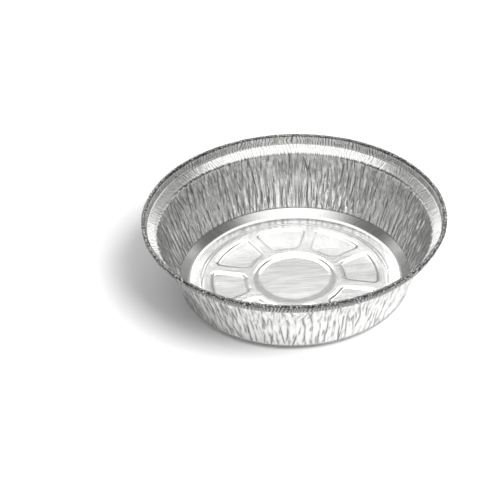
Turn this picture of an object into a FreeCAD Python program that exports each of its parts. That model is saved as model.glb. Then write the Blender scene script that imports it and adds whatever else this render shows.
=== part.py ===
import FreeCAD, Part
import math
import os
import re
import Sketcher
from FreeCAD import Placement, Rotation, Vector

# Round foil pie tin, pressed from one sheet. Millimetres, +Z up, origin mid-way under the base.
# Two press forms give it its shape: the outer form has the tin's outside, the inner form its inside.
# The sheet is what lies between them. Each form has a flat for every pleat, a pleat pressed into each flat
# and a wheel of ribs in its base. The rolled edge closes the rim.

SIZES = {
    # The sheet
    "foil": 0.1,
    # The side, from the base out: smooth band, sloping wall, ledge, upstand
    "base_radius": 64.9,
    "band_reach": 4.8,
    "band_rise": 4.4,
    "wall_top_radius": 81.9,
    "wall_top_height": 38.5,
    "rim_radius": 87.5,
    "ledge_rise": 3.7,
    # The rolled edge: its outer radius, the height of its middle, how far it turns and in how many flats
    "curl_radius": 1.55,
    "curl_height": 47.2,
    "curl_angle": 320,
    "curl_flats": 7,
    # The wheel of ribs in the base: hub ring, spokes, outer ring
    "wheel_rise": 1.15,
    "wheel_slope": 2.2,
    "hub_inner_radius": 22.9,
    "hub_outer_radius": 30.9,
    "ring_inner_radius": 49.6,
    "ring_outer_radius": 57.3,
    "spoke_width": 8.4,
    "panel_corner_radius": 2.5,
    "spokes": 8,
    "first_panel_angle": 8,
    # The pleats: how many, how deep at the wall's top, and their width as a share of a flat
    "pleats": 90,
    "pleat_depth": 1.2,
    "pleat_share": 0.7,
    # How far a cutting form stands out of what it cuts, and how far it does at a pleat's foot
    "cut_over": 0.2,
    "foot_over": 0.06,
}

document = FreeCAD.newDocument("pie_tin")
sheet = document.addObject("Spreadsheet::Sheet", "sizes")
for row, (name, number) in enumerate(SIZES.items(), start=1):
    sheet.set(f"A{row}", name)
    sheet.set(f"B{row}", str(number))
    sheet.setAlias(f"B{row}", name)
document.recompute()


def cells(formula):
    """Turns the plain names of the sizes in a formula into references to the sheet."""
    return re.sub(r"\b(" + "|".join(SIZES) + r")\b", r"sizes.\1", formula)


def value(formula):
    """Works a formula out."""
    number = sheet.evalExpression(cells(formula))
    return float(getattr(number, "Value", number))


def bind(thing, prop, formula):
    """Ties a property to a formula."""
    thing.setExpression(prop, cells(formula))


# The side's profile: its corners, and the slopes of the runs between them, measured from level

BAND_TOP_RADIUS = "(base_radius + band_reach)"
LEDGE_TOP_HEIGHT = "(wall_top_height + ledge_rise)"
SLOPES = {
    "base": "0 deg",
    "band": "atan2(band_rise; band_reach)",
    "wall": f"atan2(wall_top_height - band_rise; wall_top_radius - {BAND_TOP_RADIUS})",
    "ledge": "atan2(ledge_rise; rim_radius - wall_top_radius)",
    "upstand": "90 deg",
}


def corner(radius, height, before, after, depth):
    """A corner between two runs, moved `depth` sheets inwards, square to both runs."""
    middle = f"(({SLOPES[before]}) + ({SLOPES[after]})) / 2"
    half_turn = f"(({SLOPES[after]}) - ({SLOPES[before]})) / 2"
    shift = f"{depth} * foil / cos({half_turn})"
    return f"{radius} - {shift} * sin({middle})", f"{height} + {shift} * cos({middle})"


def profile(depth):
    """The side's corners on one form, as formulas for radius and height."""
    return {
        "base": corner("base_radius", "0", "base", "band", depth),
        "band": corner(BAND_TOP_RADIUS, "band_rise", "band", "wall", depth),
        "wall": corner("wall_top_radius", "wall_top_height", "wall", "ledge", depth),
        "ledge": corner("rim_radius", LEDGE_TOP_HEIGHT, "ledge", "upstand", depth),
        "rim": (f"rim_radius - {depth} * foil", f"curl_height + {depth} * cut_over"),
    }


def faceted(name, corners, closed):
    """A solid with a flat for every pleat, through level rings given as formulas for radius and height."""
    pleats = SIZES["pleats"]
    rings = []
    for radius, height in corners:
        arm = Vector(value(radius), 0, value(height))
        rings.append([Rotation(Vector(0, 0, 1), 360 * k / pleats).multVec(arm) for k in range(pleats)])
    faces = []
    for lower, upper in zip(rings, rings[1:] + rings[:1] if closed else rings[1:]):
        for k in range(pleats):
            flat = [lower[k - 1], lower[k], upper[k], upper[k - 1], lower[k - 1]]
            faces.append(Part.Face(Part.makePolygon(flat)))
    if not closed:
        for ring in (rings[0], rings[-1]):
            faces.append(Part.Face(Part.makePolygon(ring + ring[:1])))
    return add_solid(name, [faces])


def add_solid(name, skins):
    """One object of the document from closed sets of flat faces, each set a solid."""
    solids = []
    for faces in skins:
        solid = Part.makeSolid(Part.makeShell(faces))
        if solid.Volume < 0:
            solid.reverse()
        solids.append(solid)
    thing = document.addObject("Part::Feature", name)
    thing.Shape = solids[0] if len(solids) == 1 else Part.makeCompound(solids)
    return thing


def cut(name, base, tool):
    result = document.addObject("Part::Cut", name)
    result.Base = base
    result.Tool = tool
    return result


# The wheel in the base

def origin_part(body, role):
    return next(part for part in body.Origin.OriginFeatures if part.Role == role)


def new_sketch(body, name, plane):
    sketch = body.newObject("Sketcher::SketchObject", name)
    sketch.AttachmentSupport = [(origin_part(body, plane), "")]
    sketch.MapMode = "FlatFace"
    return sketch


def tie(sketch, constraint, formula):
    """Adds a constraint that has a size and ties the size to a formula."""
    index = sketch.addConstraint(constraint)
    bind(sketch, f"Constraints[{index}]", formula)


def turn_section(body, name, corners):
    """Turns a closed section, given as formulas for radius and height, about the tin's axis."""
    sketch = new_sketch(body, name + "_section", "XZ_Plane")
    spots = [Vector(value(x), value(y), 0) for x, y in corners]
    count = len(spots)
    for index in range(count):
        sketch.addGeometry(Part.LineSegment(spots[index], spots[(index + 1) % count]), False)
    for index, (x, y) in enumerate(corners):
        sketch.addConstraint(Sketcher.Constraint("Coincident", index, 2, (index + 1) % count, 1))
        tie(sketch, Sketcher.Constraint("DistanceX", -1, 1, index, 1, value(x)), x)
        tie(sketch, Sketcher.Constraint("DistanceY", -1, 1, index, 1, value(y)), y)
    turned = body.newObject("PartDesign::Revolution", name)
    turned.Profile = sketch
    turned.ReferenceAxis = (sketch, ["V_Axis"])
    turned.Angle = 360
    return turned


def arc_between(centre, radius, start, end):
    """The arc about a centre that runs counter-clockwise from one point to another."""
    first = math.atan2(start.y - centre.y, start.x - centre.x)
    last = math.atan2(end.y - centre.y, end.x - centre.x)
    if last < first:
        last += 2 * math.pi
    return Part.ArcOfCircle(Part.Circle(centre, Vector(0, 0, 1), radius), first, last)


def draw_panel(sketch):
    """A panel between two spokes: two arcs about the axis, two sides along the spokes, round corners."""
    half_gap = 180 / value("spokes")
    inner, outer = value("hub_outer_radius"), value("ring_inner_radius")
    side, bend = value("spoke_width / 2"), value("panel_corner_radius")
    across = side + bend
    along_inner = math.sqrt((inner + bend) ** 2 - across ** 2)
    along_outer = math.sqrt((outer - bend) ** 2 - across ** 2)

    def spot(along, across, hand):
        """A point measured along and across the spoke on one hand of the panel."""
        return Rotation(Vector(0, 0, 1), -hand * half_gap).multVec(Vector(along, hand * across, 0))

    axis = Vector(0, 0, 0)
    right_inner, right_outer = spot(along_inner, across, 1), spot(along_outer, across, 1)
    left_inner, left_outer = spot(along_inner, across, -1), spot(along_outer, across, -1)
    to_inner, to_outer = inner / (inner + bend), outer / (outer - bend)
    pieces = [
        Part.LineSegment(spot(along_inner, side, 1), spot(along_outer, side, 1)),
        arc_between(right_outer, bend, spot(along_outer, side, 1), right_outer * to_outer),
        arc_between(axis, outer, right_outer * to_outer, left_outer * to_outer),
        arc_between(left_outer, bend, left_outer * to_outer, spot(along_outer, side, -1)),
        Part.LineSegment(spot(along_outer, side, -1), spot(along_inner, side, -1)),
        arc_between(left_inner, bend, spot(along_inner, side, -1), left_inner * to_inner),
        arc_between(axis, inner, right_inner * to_inner, left_inner * to_inner),
        arc_between(right_inner, bend, right_inner * to_inner, spot(along_inner, side, 1)),
    ]
    for piece in pieces:
        sketch.addGeometry(piece, False)
    for first in range(8):
        second = (first + 1) % 8
        first_end = 1 if first == 6 else 2
        second_end = 2 if second == 6 else 1
        sketch.addConstraint(Sketcher.Constraint("Tangent", first, first_end, second, second_end))
    for arc, formula in ((2, "ring_inner_radius"), (6, "hub_outer_radius")):
        sketch.addConstraint(Sketcher.Constraint("Coincident", arc, 3, -1, 1))
        tie(sketch, Sketcher.Constraint("Radius", arc, value(formula)), formula)
    for arc in (1, 3, 5, 7):
        tie(sketch, Sketcher.Constraint("Radius", arc, bend), "panel_corner_radius")
    for line, heading in ((0, "-180 deg / spokes"), (4, "180 deg / spokes - 180 deg")):
        tie(sketch, Sketcher.Constraint("Distance", -1, 1, line, side), "spoke_width / 2")
        tie(sketch, Sketcher.Constraint("Angle", line, math.radians(value(heading))), heading)


def press_wheel(name, depth):
    """The raised ribs as one body: a ring with sloping sides, and a panel cut out between two spokes."""
    body = document.addObject("PartDesign::Body", name)
    bind(body, "Placement.Base.z", f"{depth} * foil")
    turn_section(body, name + "_ring", [
        ("hub_inner_radius", "0"),
        ("ring_outer_radius", "0"),
        ("ring_outer_radius - wheel_slope", "wheel_rise"),
        ("hub_inner_radius + wheel_slope", "wheel_rise"),
    ])
    sketch = new_sketch(body, name + "_panel_outline", "XY_Plane")
    draw_panel(sketch)
    sketch.AttachmentOffset = Placement(Vector(0, 0, 0), Rotation(Vector(0, 0, 1), 0))
    bind(sketch, "AttachmentOffset.Rotation.Angle", "first_panel_angle")
    panel = body.newObject("PartDesign::Pocket", name + "_panel")
    panel.Profile = sketch
    panel.Reversed = True
    bind(panel, "Length", "wheel_rise")
    bind(panel, "TaperAngle", "atan2(wheel_slope; wheel_rise)")
    panels = body.newObject("PartDesign::PolarPattern", name + "_panels")
    panels.Originals = [panel]
    panels.Axis = (origin_part(body, "Z_Axis"), [""])
    panels.Angle = 360
    bind(panels, "Occurrences", "spokes")
    body.Tip = panels
    return body


# The pleats: the share of the ledge that each crosses, and how unevenly they stand. Wander and lean are
# shares of a flat, depth and width spread shares of the mean, and foot spread a share of the wall

LEDGE_SHARE = 0.85
WANDER = 0.22
DEPTH_SPREAD = 0.35
WIDTH_SPREAD = 0.25
FOOT_SPREAD = 0.2
LEAN = 0.5


def notch(azimuth, half_width, corners, depth, foot_share, lean):
    """The wedge that presses one pleat: deepest at the wall's top, it runs out at both ends."""
    over = value("cut_over")
    wall_radius, wall_height = corners["wall"]

    def at(radius, across, height, turn):
        return Rotation(Vector(0, 0, 1), turn).multVec(Vector(radius, across, height))

    def on_run(start, end, share):
        """Radius and height at a share of the way between two corners."""
        return tuple(first + share * (last - first) for first, last in zip(corners[start], corners[end]))

    foot_radius, foot_height = on_run("band", "wall", foot_share)
    edge_radius, edge_height = on_run("wall", "ledge", LEDGE_SHARE)
    left = at(wall_radius + over, half_width, wall_height, azimuth)
    right = at(wall_radius + over, -half_width, wall_height, azimuth)
    deepest = at(wall_radius - depth, 0, wall_height, azimuth)
    foot = at(foot_radius + value("foot_over"), 0, foot_height, azimuth + lean)
    edge = at(edge_radius + over, 0, edge_height - over, azimuth)
    faces = []
    for first, second in ((left, right), (right, deepest), (deepest, left)):
        for tip in (foot, edge):
            faces.append(Part.Face(Part.makePolygon([first, second, tip, first])))
    return faces


def press_pleats(name, corners):
    """All the pleats of one form, each in its own flat, uneven in place, width, depth, length and lean."""
    flat = 360 / SIZES["pleats"]
    mean_half_width = corners["wall"][0] * math.tan(math.radians(flat / 2)) * value("pleat_share")
    notches = []
    for pleat in range(SIZES["pleats"]):
        # Three even spreads of numbers from 0 to 1, as uneven as the folds of the real sheet
        place, size, length = (pleat * 0.618034 % 1, pleat * 0.754878 % 1, pleat * 0.569840 % 1)
        notches.append(notch(
            azimuth=(pleat + 0.5 + WANDER * (place - 0.5)) * flat,
            half_width=mean_half_width * (1 + WIDTH_SPREAD * (size - 0.5)),
            corners=corners,
            depth=value("pleat_depth") * (1 + DEPTH_SPREAD * (size - 0.5)),
            foot_share=FOOT_SPREAD * length ** 2,
            lean=flat * LEAN * (length - 0.5),
        ))
    return add_solid(name, notches)


# The two forms, the sheet between them and the rolled edge

def press_form(name, depth):
    """One form: the tin's outside at depth 0, its inside one sheet in at depth 1."""
    corners = profile(depth)
    side = faceted(name + "_side", list(corners.values()), closed=False)
    based = cut(name + "_based", side, press_wheel(name + "_wheel", depth))
    numbers = {key: (value(radius), value(height)) for key, (radius, height) in corners.items()}
    return cut(name, based, press_pleats(name + "_pleats", numbers))


def rolled_edge():
    """The rim: the upstand's end rolled outwards and down, a hollow roll of one sheet, flat by flat."""
    middle = "rim_radius - foil + curl_radius"

    def around(radius):
        """The roll's corners on one of its skins, from the upstand on."""
        corners = []
        for step in range(SIZES["curl_flats"] + 1):
            angle = f"180 deg - {step} * curl_angle * 1 deg / curl_flats"
            radial = f"{middle} + {radius} * cos({angle})"
            corners.append((radial, f"curl_height + {radius} * sin({angle})"))
        return corners

    skins = around("curl_radius") + around("(curl_radius - foil)")[::-1]
    return faceted("rolled_edge", skins, closed=True)


cup = cut("pressed_sheet", press_form("outer_form", 0), press_form("inner_form", 1))
tin = document.addObject("Part::Fuse", "tin")
tin.Base = cup
tin.Tool = rolled_edge()
tin.Label = "pie_tin"
document.recompute()

for thing in document.Objects:
    if "Invalid" in thing.State or "Error" in thing.State:
        raise RuntimeError(f"{thing.Label} failed")
if tin.Shape.isNull() or not tin.Shape.isValid() or len(tin.Shape.Solids) != 1:
    raise RuntimeError("the tin is not one sound solid")
os.makedirs("parts", exist_ok=True)
tin.Shape.exportStep(f"parts/{tin.Label}.step")
print(f"{tin.Label}: {tin.Shape.Volume:.0f} cubic mm, {len(tin.Shape.Faces)} faces")
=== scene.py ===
import math

import bpy
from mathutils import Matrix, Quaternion, Vector


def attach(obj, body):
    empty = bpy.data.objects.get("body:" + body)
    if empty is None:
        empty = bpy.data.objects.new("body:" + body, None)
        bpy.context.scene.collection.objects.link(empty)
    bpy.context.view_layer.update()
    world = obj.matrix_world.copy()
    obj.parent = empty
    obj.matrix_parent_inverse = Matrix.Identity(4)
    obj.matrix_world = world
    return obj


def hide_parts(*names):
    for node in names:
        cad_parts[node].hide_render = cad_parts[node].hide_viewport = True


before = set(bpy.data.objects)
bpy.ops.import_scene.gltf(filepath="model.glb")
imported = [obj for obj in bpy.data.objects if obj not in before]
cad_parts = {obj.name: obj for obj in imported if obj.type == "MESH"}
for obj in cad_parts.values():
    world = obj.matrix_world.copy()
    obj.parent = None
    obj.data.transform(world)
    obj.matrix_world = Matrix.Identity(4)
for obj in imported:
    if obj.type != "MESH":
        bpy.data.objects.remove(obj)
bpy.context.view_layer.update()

# The base. One blank of soft aluminium foil, about 0.1 mm thick, is pressed into the whole tin. A wheel of
# raised ribs stiffens its base: a hub ring, eight spokes and an outer ring round eight panels. A flat
# border runs round the wheel to the crisp edge and the smooth band that leads up to the wall.

MM = 0.001
SEED = 2
FOIL = 0.1 * MM
BASE_RADIUS = 64.9 * MM
BAND_TOP = (69.7 * MM, 4.4 * MM)
HUB_INNER, HUB_OUTER = 22.9 * MM, 30.9 * MM
RING_INNER, RING_OUTER = 49.6 * MM, 57.3 * MM
RIB_RISE, RIB_SLOPE = 0.9 * MM, 1.4 * MM
SPOKES, SPOKE_WIDTH = 8, 8.4 * MM
PANEL_CORNER = 2.5 * MM
FIRST_PANEL = math.radians(8)
SWELL, SWELL_SIZE, SWELL_FADE, SWELL_RANGE = 0.08 * MM, 13 * MM, 4 * MM, (0.25, 0.75)
LINE_GAP, LINE_LENGTH, LINE_TURN = 0.8 * MM, 25 * MM, 1.2
LINE_DEPTH = 0.02 * MM
DINT_SPACING, DINT_DEPTH = 2.381 * MM, 0.12 * MM
STREAK_RANGE, SMOOTHER, ROUGHER = (0.3, 0.7), 0.03, 0.05
OUTSIDE_BY = 10 * MM
EDGE_STRIP = 0.06 * MM
WELD = 0.002 * MM
BASE_STEPS = 720
# Each radius of the base's profile, and how far apart the rows are from there on: close on the ribs' slopes
BASE_STOPS = (
    (0, 2.6 * MM), (HUB_INNER, 0.4 * MM), (HUB_INNER + RIB_SLOPE, 1.6 * MM),
    (HUB_OUTER - RIB_SLOPE, 0.5 * MM), (HUB_OUTER + PANEL_CORNER, 1.8 * MM),
    (RING_INNER - PANEL_CORNER, 0.5 * MM), (RING_INNER + RIB_SLOPE, 1.6 * MM),
    (RING_OUTER - RIB_SLOPE, 0.4 * MM), (RING_OUTER, 1.6 * MM), (BASE_RADIUS, 0),
)
BAND_GAP = 1.4 * MM


def linear(code):
    """The linear colour of an sRGB hex value."""
    channels = [int(code[i:i + 2], 16) / 255 for i in (1, 3, 5)]
    return [c / 12.92 if c <= 0.04045 else ((c + 0.055) / 1.055) ** 2.4 for c in channels] + [1.0]


def node(tree, kind, *inputs, out=0, **settings):
    """Adds a node with its settings and its inputs, which come in order or in a dictionary by name.

    A kind in capitals is the operation of a Math node.
    """
    if kind.isupper():
        kind, settings = "ShaderNodeMath", {"operation": kind}
    made = tree.nodes.new(kind)
    for name, setting in settings.items():
        setattr(made, name, setting)
    named = inputs[0] if inputs and isinstance(inputs[0], dict) else dict(enumerate(inputs))
    for key, value in named.items():
        if isinstance(value, bpy.types.NodeSocket):
            tree.links.new(value, made.inputs[key])
        else:
            made.inputs[key].default_value = value
    return made.outputs[out] if len(made.outputs) else made


def foil_finish(name, roughness, dint_strength, line_strength):
    """Mill-finish aluminium foil, with shade painted dark into its colour where the mesh's attributes say
    that a fold holds the light back.
    """
    finish = bpy.data.materials.new(name)
    finish.use_nodes = True
    tree = finish.node_tree
    tree.nodes.clear()
    place = node(tree, "ShaderNodeTexCoord", out="Object")
    # Real rolling lines are far finer: here they are 0.8 mm apart, so that they show
    lines = node(tree, "ShaderNodeMapping", {
        "Vector": place, "Rotation": (0, 0, LINE_TURN),
        "Scale": (1 / LINE_LENGTH, 1 / LINE_GAP, 1 / LINE_LENGTH)})
    streaks = node(tree, "ShaderNodeTexNoise", {"Vector": lines, "Scale": 1.0, "Detail": 3.0})
    dints = node(tree, "ShaderNodeTexNoise", {"Vector": place, "Scale": 1 / DINT_SPACING, "Detail": 3.0})
    rough = node(tree, "ShaderNodeMapRange", streaks, *STREAK_RANGE,
                 roughness - SMOOTHER, roughness + ROUGHER)
    lined = node(tree, "ShaderNodeBump", {
        "Height": streaks, "Strength": line_strength, "Distance": LINE_DEPTH})
    dented = node(tree, "ShaderNodeBump", {
        "Height": dints, "Normal": lined, "Strength": dint_strength, "Distance": DINT_DEPTH})
    # Painted shade: inside the tin a fold is a thin dark line, and outside, in the shade of the ledge, a
    # wide one
    normal = node(tree, "ShaderNodeTexCoord", out="Normal")
    outward = node(tree, "ShaderNodeVectorMath", place, normal, out="Value", operation="DOT_PRODUCT")
    outside = node(tree, "ShaderNodeMapRange", outward, 0.0, OUTSIDE_BY)
    painted_shade_mask = node(tree, "ShaderNodeAttribute", out="Fac", attribute_name="painted_shade_mask")
    painted_outside_shade_mask = node(tree, "ShaderNodeAttribute", out="Fac", attribute_name="painted_outside_shade_mask")
    painted_shade = node(tree, "MAXIMUM", painted_shade_mask, node(tree, "MULTIPLY", painted_outside_shade_mask, outside))
    # The painted shade's colour: near-black foil where the attributes mark that light is held back
    colour = node(tree, "ShaderNodeMix", {0: painted_shade, 6: linear("#f5f5f4"), 7: linear("#232322")},
                  out=2, data_type="RGBA")
    metal = node(tree, "ShaderNodeBsdfPrincipled", {
        "Base Color": colour, "Metallic": 1.0, "Roughness": rough, "Normal": dented})
    node(tree, "ShaderNodeOutputMaterial", {"Surface": metal})
    return finish


def unevenness(tree, place, seed, wide, tall, detail=1.0):
    """A number from about 0.3 to 0.7 that changes softly, in patches as wide and as tall as given."""
    scaled = node(tree, "ShaderNodeVectorMath", place, (1 / wide, 1 / wide, 1 / tall), operation="MULTIPLY")
    return node(tree, "ShaderNodeTexNoise", {"Vector": scaled, "W": seed, "Scale": 1.0, "Detail": detail},
                noise_dimensions="4D")


def pressing(name, sizes, move):
    """The tree that moves each point of a spun sheet as `move` says, and gives the sheet its finish and the
    attributes of its painted shade.
    """
    tree = bpy.data.node_groups.new(name, "GeometryNodeTree")
    tree.interface.new_socket("Sheet", in_out="INPUT", socket_type="NodeSocketGeometry")
    tree.interface.new_socket("Finish", in_out="INPUT", socket_type="NodeSocketMaterial")
    for label in sizes:
        tree.interface.new_socket(label, in_out="INPUT", socket_type="NodeSocketFloat")
    tree.interface.new_socket("Sheet", in_out="OUTPUT", socket_type="NodeSocketGeometry")
    given = tree.nodes.new("NodeGroupInput").outputs
    place = node(tree, "GeometryNodeInputPosition")
    apart = tree.nodes.new("ShaderNodeSeparateXYZ")
    tree.links.new(place, apart.inputs[0])
    x, y, z = apart.outputs
    radius = node(tree, "SQRT", node(tree, "MULTIPLY_ADD", x, x, node(tree, "MULTIPLY", y, y)))
    turn = node(tree, "WRAP", node(tree, "ARCTAN2", y, x), 2 * math.pi, 0.0)
    inward, lift, painted_shade_mask, painted_outside_shade_mask = move(tree, given, place, radius, turn, z)
    share = node(tree, "SUBTRACT", 1.0, node(tree, "DIVIDE", inward, node(tree, "MAXIMUM", radius, WELD)))
    moved = node(tree, "ShaderNodeCombineXYZ", node(tree, "MULTIPLY", x, share),
                 node(tree, "MULTIPLY", y, share), node(tree, "ADD", z, lift))
    # Two attributes carry painted shade into the colour: dark where folds, pinches and corners hold the
    # light back, and more seen from outside
    marked = given["Sheet"]
    for mark, value in (("painted_shade_mask", painted_shade_mask), ("painted_outside_shade_mask", painted_outside_shade_mask)):
        marked = node(tree, "GeometryNodeStoreNamedAttribute",
                      {"Geometry": marked, "Name": mark, "Value": value}, data_type="FLOAT", domain="POINT")
    pressed = node(tree, "GeometryNodeSetPosition", {"Geometry": marked, "Position": moved})
    real = node(tree, "GeometryNodeRealizeInstances", {"Geometry": pressed})
    coated = node(tree, "GeometryNodeSetMaterial", {"Geometry": real, "Material": given["Finish"]})
    node(tree, "NodeGroupOutput", coated)
    return tree


def spin_and_press(name, profile, steps, move, sizes, finish):
    """A sheet spun from its outer profile, pressed by its tree and given its thickness inwards."""
    mesh = bpy.data.meshes.new(name)
    mesh.from_pydata([(r, 0, z) for r, z in profile], [(i, i + 1) for i in range(len(profile) - 1)], [])
    sheet = bpy.data.objects.new(name, mesh)
    bpy.context.scene.collection.objects.link(sheet)
    spin = sheet.modifiers.new("spin", "SCREW")
    spin.steps = spin.render_steps = steps
    spin.use_merge_vertices = True
    spin.merge_threshold = WELD
    spin.use_smooth_shade = True
    press = sheet.modifiers.new("press", "NODES")
    press.node_group = pressing(name + "_press", sizes, move)
    for socket in press.node_group.interface.items_tree:
        if socket.in_out == "INPUT" and socket.name == "Finish":
            press[socket.identifier] = finish
        elif socket.in_out == "INPUT" and socket.name in sizes:
            press[socket.identifier] = float(sizes[socket.name])
    skin = sheet.modifiers.new("skin", "SOLIDIFY")
    skin.thickness = FOIL
    skin.offset = 1
    skin.use_even_offset = False
    bpy.context.view_layer.update()
    shaped = bpy.data.meshes.new_from_object(sheet.evaluated_get(bpy.context.evaluated_depsgraph_get()))
    sheet.modifiers.clear()
    sheet.data = shaped
    shaped.name = name
    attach(sheet, "root")
    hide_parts("pie_tin")


def rows(start, end, gap):
    """Points from one corner of the profile up to just before the next, about a gap apart."""
    count = max(1, round(math.dist(start, end) / gap))
    return [tuple(a + (b - a) * k / count for a, b in zip(start, end)) for k in range(count)]


def lip(end, inner):
    """A sheet's cut edge and a point close by it, so that the edge's shading stays on the edge."""
    share = EDGE_STRIP / math.dist(end, inner)
    return [end, tuple(a + (b - a) * share for a, b in zip(end, inner))]


def press_base(tree, sizes, place, radius, turn, z):
    corner = sizes["Panel Corner"]

    def climb(distance, length):
        return node(tree, "ShaderNodeClamp", node(tree, "DIVIDE", distance, length), 0.0, 1.0)

    ring = node(tree, "MINIMUM",
                climb(node(tree, "SUBTRACT", radius, sizes["Hub Inner"]), sizes["Rib Slope"]),
                climb(node(tree, "SUBTRACT", sizes["Ring Outer"], radius), sizes["Rib Slope"]))
    pitch = 2 * math.pi / SPOKES
    from_panel = node(tree, "WRAP", node(tree, "SUBTRACT", turn, FIRST_PANEL), pitch / 2, -pitch / 2)
    to_spoke = node(tree, "SUBTRACT", pitch / 2, node(tree, "ABSOLUTE", from_panel))
    across = node(tree, "MULTIPLY", radius, node(tree, "SINE", to_spoke))
    # How far a point is beyond the panel with its rounded corners
    bend_a = node(tree, "SUBTRACT", corner, node(tree, "MULTIPLY_ADD", sizes["Spoke Width"], -0.5, across))
    bend_b = node(tree, "SUBTRACT", corner, node(
        tree, "MINIMUM", node(tree, "SUBTRACT", radius, sizes["Hub Outer"]),
        node(tree, "SUBTRACT", sizes["Ring Inner"], radius)))
    out_a, out_b = node(tree, "MAXIMUM", bend_a, 0.0), node(tree, "MAXIMUM", bend_b, 0.0)
    far = node(tree, "SQRT", node(tree, "MULTIPLY_ADD", out_a, out_a, node(tree, "MULTIPLY", out_b, out_b)))
    near = node(tree, "MINIMUM", node(tree, "MAXIMUM", bend_a, bend_b), 0.0)
    beyond = node(tree, "SUBTRACT", node(tree, "ADD", far, near), corner)
    wheel = node(tree, "MINIMUM", ring, climb(beyond, sizes["Rib Slope"]))
    # The flats aren't dead flat: they stand up by less than the foil's own thickness
    broad = node(tree, "ShaderNodeMapRange",
                 unevenness(tree, place, sizes["Seed"], SWELL_SIZE, SWELL_SIZE), *SWELL_RANGE)
    inside = climb(node(tree, "SUBTRACT", BASE_RADIUS, radius), SWELL_FADE)
    swell = node(tree, "MULTIPLY", node(tree, "MULTIPLY", broad, inside), sizes["Swell"])
    return 0.0, node(tree, "MULTIPLY_ADD", wheel, sizes["Rib Rise"], swell), 0.0, 0.0


# Bright foil pressed smooth by the die: a soft mirror of the studio, with the faint lines of its rolling
base_finish = foil_finish("pressed_aluminium_foil", roughness=0.2, dint_strength=0.12, line_strength=0.12)
base_profile = []
for (start, gap), (end, _) in zip(BASE_STOPS, BASE_STOPS[1:]):
    base_profile += rows((start, 0), (end, 0), gap)
base_profile += rows((BASE_RADIUS, 0), BAND_TOP, BAND_GAP) + lip(BAND_TOP, (BASE_RADIUS, 0))[::-1]
spin_and_press("tin_base", base_profile, BASE_STEPS, press_base, {
    "Hub Inner": HUB_INNER, "Hub Outer": HUB_OUTER, "Ring Inner": RING_INNER, "Ring Outer": RING_OUTER,
    "Spoke Width": SPOKE_WIDTH, "Panel Corner": PANEL_CORNER, "Rib Rise": RIB_RISE, "Rib Slope": RIB_SLOPE,
    "Swell": SWELL, "Seed": SEED}, base_finish)

# The side, of the same foil. The wall has to shrink as it is drawn up, so it gathers in pleats, deepest
# under the ledge, and creases between them in runs of thin leaning folds, closest in its upper third. The
# ledge round it has fine radial ribs, and the upstand above has close upright wrinkles.

WALL_TOP = (81.9 * MM, 38.5 * MM)
LEDGE_TOP = (87.5 * MM, 42.2 * MM)
ROLL_HEIGHT = 47.2 * MM
WALL_MIDDLE = 76 * MM
WALL_GAP, LEDGE_GAP, UPSTAND_GAP = 1.0 * MM, 0.95 * MM, 0.9 * MM
SIDE_STEPS = 960
OUT_OF_ROUND, ROUND_FROM, ROUND_WAVES, ROUND_RANGE = 0.6 * MM, 10 * MM, 3.2, (0.3, 0.8)
# The pleats stand as in the solid. The steps spread their places, sizes and lengths in no plain order
PLEATS, PLEAT_DEPTH, PLEAT_SHARE, LEDGE_SHARE = 90, 0.5 * MM, 0.7, 0.4
PLEAT_STEPS = (0.618034, 0.754878, 0.569840)
WANDER, DEPTH_SPREAD, WIDTH_SPREAD, FOOT_SPREAD, LEAN = 0.22, 0.35, 0.25, 0.2, 0.5
PLEAT_PATCH = (14 * MM, 30 * MM, 0.35, 0.65, 0.25, 1.0)
# A patch: its width and height, the unevenness that it starts and ends at, and how strong it is there
# A run of folds: how many go round, how they lean, by how many folds they wander over what width and
# height, the patches where they show, and whether they are only in the wall's upper third
FOLD_RUNS = (
    (112, math.radians(7), 1.5, 21 * MM, 40 * MM, (6 * MM, 19 * MM, 0.42, 0.56, 0.1, 1.0), False),
    (104, math.radians(-6), 1.5, 17 * MM, 36 * MM, (5 * MM, 16 * MM, 0.44, 0.58, 0.0, 1.0), False),
    (150, math.radians(1), 2.6, 14 * MM, 30 * MM, (4 * MM, 12 * MM, 0.44, 0.6, 0.0, 0.9), False),
    (226, math.radians(-3), 4.0, 11 * MM, 18 * MM, (4 * MM, 7 * MM, 0.35, 0.6, 0.0, 0.8), True),
)
UPPER_THIRD = (19 * MM, 31 * MM, 0.1, 1.0)
CREASE_REACH, CREASE_DEPTH, FACET_TILT = 0.9 * MM, 0.3 * MM, 0.14
RIM_FOLDS, RIM_FOLD_DEPTH = 330, 0.7 * MM
RIM_WANDER, RIM_PATCH = (4.0, 9 * MM, 8 * MM), (3 * MM, 5 * MM)
DENT_DEPTH, DENT_PATCH = 0.35 * MM, (2.2 * MM, 7 * MM)
# Near the corner under the ledge a pleat flattens to a quarter, and every fold starts and ends softly
FLATTENING, PLEAT_LEFT = 5 * MM, 0.25
FOOT_EASE, CORNER_EASE, UPSTAND_EASE, ROLL_EASE = 0.9 * MM, 0.3 * MM, 0.8 * MM, 1.0 * MM
LEDGE_RIBS_BELOW, LEDGE_RIBS_ABOVE, LEDGE_RIBS = 1.5 * MM, 0.6 * MM, 0.5
# How dark the painted shade makes a place: where its measure starts and ends, and how dark it is there
FLECK_SIZE = 2 * MM
FOLD_DARK, FOLD_DARK_OUTSIDE = (0.42, 0.95), 0.9
FLECK_DARK, CORNER_FLECK_DARK = (0.18, 0.04, 0.0, 0.9), (0.24, 0.1, 0.1, 0.95)
CORNER_DARK = (0.9 * MM, 0.2 * MM)
FOOT_LINE_FROM, FOOT_LINE_TO, FOOT_DARK = 0.2 * MM, 1.2 * MM, 0.75
UNDER_ROLL_FROM, UNDER_ROLL_TO, UNDER_ROLL_DARK = 1.0 * MM, 0.5 * MM, (0.1, 0.9, 0.95, 0.5)
MOTTLE_PATCH = (1.8 * MM, 4 * MM, 0.42, 0.62, 0.0, 0.35)


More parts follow.
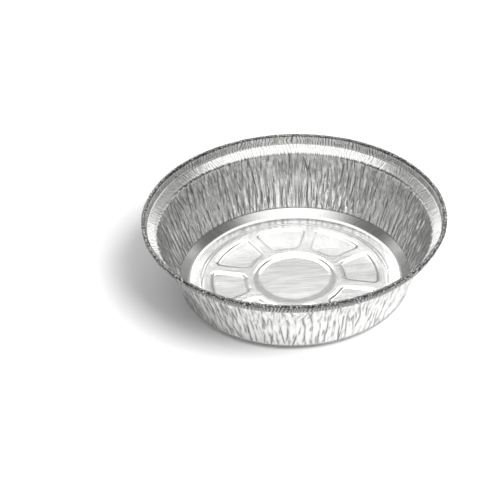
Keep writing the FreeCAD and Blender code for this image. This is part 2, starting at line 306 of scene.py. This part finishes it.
def leaning_in(tree, sizes, turn, z):
    """How far the side leans in here and there, the more the higher, so that the rim isn't quite round."""
    east, north = node(tree, "COSINE", turn), node(tree, "SINE", turn)
    round_trip = node(tree, "ShaderNodeCombineXYZ", east, north, 0.0)
    wave = node(tree, "ShaderNodeTexNoise", {
        "Vector": round_trip, "W": sizes["Seed"], "Scale": ROUND_WAVES, "Detail": 2.0},
        noise_dimensions="4D")
    height = node(tree, "ShaderNodeMapRange", z, ROUND_FROM, ROLL_HEIGHT)
    most = node(tree, "MULTIPLY", height, sizes["Out Of Round"])
    return node(tree, "MULTIPLY", node(tree, "ShaderNodeMapRange", wave, *ROUND_RANGE), most)


def press_side(tree, sizes, place, radius, turn, z):
    seed = sizes["Seed"]
    wall_foot, wall_top, ledge_top = BAND_TOP[1], WALL_TOP[1], LEDGE_TOP[1]
    pleat_turn = 2 * math.pi / PLEATS
    half_width = math.tan(pleat_turn / 2) * PLEAT_SHARE

    def patches(wide, tall, start, end, low, high):
        uneven = unevenness(tree, place, seed, wide, tall)
        return node(tree, "ShaderNodeMapRange", uneven, start, end, low, high)

    # Each pleat with its own place, width, depth, length and lean
    number = node(tree, "FLOOR", node(tree, "DIVIDE", turn, pleat_turn))
    spot, size, length = [node(tree, "FRACT", node(tree, "MULTIPLY", number, step)) for step in PLEAT_STEPS]
    off = node(tree, "SUBTRACT", size, 0.5)
    foot_height = node(tree, "MULTIPLY_ADD", node(tree, "MULTIPLY", length, length),
                       FOOT_SPREAD * (wall_top - wall_foot), wall_foot)
    up = node(tree, "DIVIDE", node(tree, "SUBTRACT", z, foot_height),
              node(tree, "SUBTRACT", wall_top, foot_height))
    ledge_end = WALL_TOP[0] + LEDGE_SHARE * (LEDGE_TOP[0] - WALL_TOP[0])
    out = node(tree, "ShaderNodeMapRange", radius, ledge_end, WALL_TOP[0])
    run = node(tree, "MAXIMUM", node(tree, "MINIMUM", up, out), 0.0)
    lean = node(tree, "MULTIPLY", node(tree, "SUBTRACT", length, 0.5), LEAN * pleat_turn)
    middle = node(tree, "MULTIPLY_ADD", node(tree, "SUBTRACT", spot, 0.5), WANDER,
                  node(tree, "ADD", number, 0.5))
    middle = node(tree, "MULTIPLY_ADD", lean, node(tree, "SUBTRACT", 1.0, run),
                  node(tree, "MULTIPLY", middle, pleat_turn))
    beside = node(tree, "ABSOLUTE", node(tree, "SUBTRACT", turn, middle))
    half = node(tree, "MULTIPLY_ADD", off, WIDTH_SPREAD * half_width, half_width)
    flank = node(tree, "MAXIMUM", node(tree, "SUBTRACT", run, node(tree, "DIVIDE", beside, half)), 0.0)
    depth = node(tree, "MULTIPLY", node(tree, "MULTIPLY_ADD", off, DEPTH_SPREAD, 1.0), sizes["Pleat Depth"])
    flattened = node(tree, "ShaderNodeMapRange", z, wall_top - FLATTENING, wall_top - CORNER_EASE,
                     1.0, PLEAT_LEFT)
    pleat = node(tree, "MULTIPLY", node(tree, "MULTIPLY", depth, flank),
                 node(tree, "MULTIPLY", patches(*PLEAT_PATCH), flattened))

    # Thin folds: how strong they are at a point, and how far it is from the nearest
    def folds(count, lean, wander, wide, tall, seen):
        gap = 2 * math.pi * WALL_MIDDLE / count
        drift = node(tree, "MULTIPLY_ADD", unevenness(tree, place, seed, wide, tall, 0.0), wander,
                     node(tree, "MULTIPLY", z, math.tan(lean) / gap))
        phase = node(tree, "FRACT", node(tree, "MULTIPLY_ADD", turn, count / (2 * math.pi), drift))
        away = node(tree, "MULTIPLY", node(tree, "ABSOLUTE", node(tree, "SUBTRACT", phase, 0.5)), gap)
        line = node(tree, "ShaderNodeMapRange", away, sizes["Crease Reach"], 0.0)
        return node(tree, "MULTIPLY", line, seen), away

    # The wall's folds and the slanting facets between them
    upper = node(tree, "ShaderNodeMapRange", z, *UPPER_THIRD)
    folded = facets = 0.0
    for count, lean, wander, wide, tall, patch, only_upper in FOLD_RUNS:
        seen = node(tree, "MULTIPLY", patches(*patch), upper if only_upper else 1.0)
        line, away = folds(count, lean, wander, wide, tall, seen)
        folded = node(tree, "MAXIMUM", folded, line)
        facets = node(tree, "ADD", facets, away)
    begun = node(tree, "ShaderNodeMapRange", z, wall_foot, wall_foot + FOOT_EASE)
    on_wall = node(tree, "MULTIPLY", begun,
                   node(tree, "ShaderNodeMapRange", z, wall_top - CORNER_EASE, wall_top + CORNER_EASE,
                        1.0, 0.0))
    tilt = node(tree, "MULTIPLY", facets, sizes["Facet Tilt"])
    wall_folds = node(tree, "MULTIPLY", on_wall,
                      node(tree, "MULTIPLY_ADD", folded, sizes["Crease Depth"], tilt))

    # The ledge's radial ribs, the upstand's wrinkles, and small dents over the whole side
    ribs = node(tree, "SUBTRACT", 1.0, folds(RIM_FOLDS, 0.0, *RIM_WANDER, 1.0)[0])
    above = node(tree, "MAXIMUM",
                 node(tree, "ShaderNodeMapRange", z, wall_top - LEDGE_RIBS_BELOW,
                      wall_top + LEDGE_RIBS_ABOVE, 0.0, LEDGE_RIBS),
                 node(tree, "ShaderNodeMapRange", z, ledge_top - CORNER_EASE, ledge_top + UPSTAND_EASE))
    below_roll = node(tree, "ShaderNodeMapRange", z, ROLL_HEIGHT - ROLL_EASE, ROLL_HEIGHT, 1.0, 0.0)
    rim_depth = node(tree, "MULTIPLY", node(tree, "MULTIPLY", above, below_roll), sizes["Rim Fold Depth"])
    rim_folds = node(tree, "MULTIPLY", rim_depth,
                     node(tree, "MULTIPLY", ribs, unevenness(tree, place, seed, *RIM_PATCH)))
    dent_depth = node(tree, "MULTIPLY", node(tree, "MULTIPLY", begun, below_roll), sizes["Dent Depth"])
    dents = node(tree, "MULTIPLY", dent_depth,
                 node(tree, "SUBTRACT", unevenness(tree, place, seed, *DENT_PATCH), 0.5))

    # Painted shade, dark colour where the light is held back: the folds, specks between the ribs, the
    # serrated corner under the ledge, the line at the wall's foot, and a mottle over the upper third. From
    # outside also under the roll
    flecks = node(tree, "MULTIPLY", ribs, unevenness(tree, place, seed, FLECK_SIZE, FLECK_SIZE))
    from_corner = node(tree, "ABSOLUTE", node(tree, "SUBTRACT", z, wall_top - CORNER_EASE))
    painted_shades = (
        node(tree, "MULTIPLY", node(tree, "ShaderNodeMapRange", folded, *FOLD_DARK), on_wall),
        node(tree, "MULTIPLY", node(tree, "ShaderNodeMapRange", flecks, *FLECK_DARK), above),
        node(tree, "MULTIPLY", node(tree, "ShaderNodeMapRange", from_corner, *CORNER_DARK),
             node(tree, "ShaderNodeMapRange", flecks, *CORNER_FLECK_DARK)),
        node(tree, "ShaderNodeMapRange", z, wall_foot + FOOT_LINE_FROM, wall_foot + FOOT_LINE_TO,
             FOOT_DARK, 0.0),
        node(tree, "MULTIPLY", patches(*MOTTLE_PATCH), node(tree, "MULTIPLY", upper, on_wall)),
    )
    painted_shade_mask = 0.0
    for painted_shade in painted_shades:
        painted_shade_mask = node(tree, "MAXIMUM", painted_shade_mask, painted_shade)
    # Painted shade seen only from outside: under the roll, and wide on the wall's folds
    under_roll = node(tree, "MULTIPLY",
                      node(tree, "ShaderNodeMapRange", z, ledge_top - UNDER_ROLL_FROM,
                           ledge_top + UNDER_ROLL_TO),
                      node(tree, "ShaderNodeMapRange", ribs, *UNDER_ROLL_DARK))
    painted_outside_shade_mask = node(tree, "MAXIMUM", under_roll,
                  node(tree, "MULTIPLY", node(tree, "MULTIPLY", folded, on_wall), FOLD_DARK_OUTSIDE))

    inward = leaning_in(tree, sizes, turn, z)
    for dip in (pleat, wall_folds, rim_folds, dents):
        inward = node(tree, "ADD", inward, dip)
    return inward, 0.0, painted_shade_mask, painted_outside_shade_mask


# Crimped foil: a glitter of small bright facets between thin creases of painted shade, wider ones on the
# outside
side_finish = foil_finish("crimped_aluminium_foil", roughness=0.22, dint_strength=0.1, line_strength=0.05)
side_profile = (
    lip(BAND_TOP, WALL_TOP)
    + rows(BAND_TOP, WALL_TOP, WALL_GAP)[1:]
    + rows(WALL_TOP, LEDGE_TOP, LEDGE_GAP)
    + rows(LEDGE_TOP, (LEDGE_TOP[0], ROLL_HEIGHT), UPSTAND_GAP)
    + [(LEDGE_TOP[0], ROLL_HEIGHT)]
)
spin_and_press("tin_side", side_profile, SIDE_STEPS, press_side, {
    "Pleat Depth": PLEAT_DEPTH, "Crease Reach": CREASE_REACH, "Crease Depth": CREASE_DEPTH,
    "Facet Tilt": FACET_TILT, "Rim Fold Depth": RIM_FOLD_DEPTH, "Dent Depth": DENT_DEPTH,
    "Out Of Round": OUT_OF_ROUND, "Seed": SEED}, side_finish)

# The rolled rim, of the same foil. The upstand's end is turned outwards and down into a roll. That hides
# the cut edge and stiffens the tin, and the small radius gathers the foil into close pinched beads.

ROLL_RADIUS = 1.52 * MM
ROLL_TURN = math.radians(320)
ROLL_POINTS = 16
ROLL_START = 0.3 * MM
RIM_STEPS = 1800
BEAD = 1.5 * MM
PINCH, PINCH_RANGE = 0.34, (0.5, 0.04)
# The painted shade under the roll: heights from the roll's middle where it starts and where it is full
UNDERSIDE = (0.5 * MM, -0.5 * MM)


def press_rim(tree, sizes, place, radius, turn, z):
    scale = node(tree, "DIVIDE", 1.0, sizes["Bead"])
    scaled = node(tree, "ShaderNodeVectorMath", {0: place, "Scale": scale}, operation="SCALE")
    shifted = node(tree, "ShaderNodeVectorMath", scaled, sizes["Seed"], operation="ADD")
    from_pinch = node(tree, "ShaderNodeTexVoronoi", {"Vector": shifted, "Scale": 1.0},
                      feature="DISTANCE_TO_EDGE")
    pinch = node(tree, "ShaderNodeMapRange", from_pinch, *PINCH_RANGE)
    away = node(tree, "SUBTRACT", radius, LEDGE_TOP[0] - FOIL + ROLL_RADIUS)
    high = node(tree, "SUBTRACT", z, ROLL_HEIGHT)
    begun = node(tree, "ShaderNodeMapRange", radius, LEDGE_TOP[0], LEDGE_TOP[0] + ROLL_START)
    dip = node(tree, "MULTIPLY", node(tree, "MULTIPLY", pinch, begun), sizes["Pinch"])
    inward = node(tree, "MULTIPLY_ADD", away, dip, leaning_in(tree, sizes, turn, z))
    lift = node(tree, "MULTIPLY", node(tree, "MULTIPLY", high, dip), -1.0)
    # Painted shade under the roll, where light hardly gets
    under = node(tree, "ShaderNodeMapRange", high, *UNDERSIDE)
    return inward, lift, node(tree, "MAXIMUM", pinch, under), 0.0


# Rolled foil: bright beads with black shade painted into the pinches between them
rim_finish = foil_finish("rolled_aluminium_foil", roughness=0.24, dint_strength=0.1, line_strength=0.05)
skin_radius = ROLL_RADIUS - FOIL
roll_angles = [math.pi - ROLL_TURN * point / ROLL_POINTS for point in range(ROLL_POINTS + 1)]
roll_profile = [(LEDGE_TOP[0] + skin_radius * (1 + math.cos(angle)),
                 ROLL_HEIGHT + skin_radius * math.sin(angle)) for angle in roll_angles]
spin_and_press("tin_rim", roll_profile, RIM_STEPS, press_rim, {
    "Bead": BEAD, "Pinch": PINCH, "Out Of Round": OUT_OF_ROUND, "Seed": SEED}, rim_finish)

# The studio. White paper lies under the tin. The room that the foil mirrors is bright overhead and behind
# the tin, where it has a window, and dim at the sides. A soft key light, on the right and in front, gives
# the paper its light and the tin its shadow.

FLOOR_REACH = 6
KEY_PLACE, KEY_SIZE, KEY_POWER = Vector((0.8, -0.75, 1.4)), 1.1, 80

floor_corners = [(x * FLOOR_REACH, y * FLOOR_REACH, 0) for x, y in ((-1, -1), (1, -1), (1, 1), (-1, 1))]
floor_mesh = bpy.data.meshes.new("floor")
floor_mesh.from_pydata(floor_corners, [], [(0, 1, 2, 3)])
floor = bpy.data.objects.new("floor", floor_mesh)
bpy.context.scene.collection.objects.link(floor)
# Matt white paper: plain and pale, without a mirror image of the tin
paper = bpy.data.materials.new("matt_white_paper")
paper.use_nodes = True
paper_look = paper.node_tree.nodes["Principled BSDF"].inputs
paper_look["Base Color"].default_value = linear("#bcbcbc")
paper_look["Roughness"].default_value = 0.9
paper_look["Emission Color"].default_value = linear("#ffffff")
paper_look["Emission Strength"].default_value = 0.05
floor_mesh.materials.append(paper)

world = bpy.data.worlds.new("studio")
world.use_nodes = True
room = world.node_tree
room.nodes.clear()
heading = room.nodes.new("ShaderNodeSeparateXYZ")
room.links.new(node(room, "ShaderNodeTexCoord", out="Generated"), heading.inputs[0])
north, up = heading.outputs[1], heading.outputs[2]


def shade(heading, start, end, before, after):
    """The room's light, which goes softly from before to after while a heading goes from start to end."""
    share = node(room, "ShaderNodeMapRange", heading, start, end, interpolation_type="SMOOTHSTEP")
    return node(room, "ShaderNodeMix", {0: share, 2: before, 3: after})


window = shade(north, 0.48, 0.62, 0.5, 5.6)
behind_tin = shade(up, 0.25, 0.52, 1.35, shade(up, 0.67, 0.73, 0.42, window))
at_sides = shade(up, 0.2, 0.5, 0.8, 0.14)
walls = shade(north, 0.22, 0.45, shade(north, -0.65, -0.3, 0.6, at_sides), behind_tin)
room_light = shade(up, 0.74, 0.88, walls, 1.3)
glow = node(room, "ShaderNodeBackground", {"Color": linear("#ffffff"), "Strength": room_light})
node(room, "ShaderNodeOutputWorld", {"Surface": glow})
bpy.context.scene.world = world

lamp = bpy.data.lights.new("key_softbox", "AREA")
lamp.shape = "SQUARE"
lamp.size = KEY_SIZE
lamp.energy = KEY_POWER
key = bpy.data.objects.new("key_softbox", lamp)
bpy.context.scene.collection.objects.link(key)
key.location = KEY_PLACE
key.rotation_mode = "QUATERNION"
key.rotation_quaternion = (-KEY_PLACE).to_track_quat("-Z", "Y")
key.visible_glossy = False

# The camera, at the height and with the slight roll of the picture.

CAMERA_HEIGHT = math.radians(35.81)
CAMERA_ROLL = math.radians(2.49)
CAMERA_AIM = Vector((-27.1, 32.3, 0)) * MM
CAMERA_AWAY = 883 * MM
FOCAL_LENGTH, SENSOR_WIDTH = 101.8, 36

lens = bpy.data.cameras.new("camera")
lens.lens = FOCAL_LENGTH
lens.sensor_width = SENSOR_WIDTH
lens.clip_start, lens.clip_end = 0.05, 50
camera = bpy.data.objects.new("camera", lens)
bpy.context.scene.collection.objects.link(camera)
back = Vector((0, -math.cos(CAMERA_HEIGHT), math.sin(CAMERA_HEIGHT)))
camera.location = CAMERA_AIM + back * CAMERA_AWAY
camera.rotation_mode = "QUATERNION"
camera.rotation_quaternion = (-back).to_track_quat("-Z", "Y") @ Quaternion((0, 0, 1), -CAMERA_ROLL)
bpy.context.scene.camera = camera
bpy.context.scene.view_settings.view_transform = "Standard"
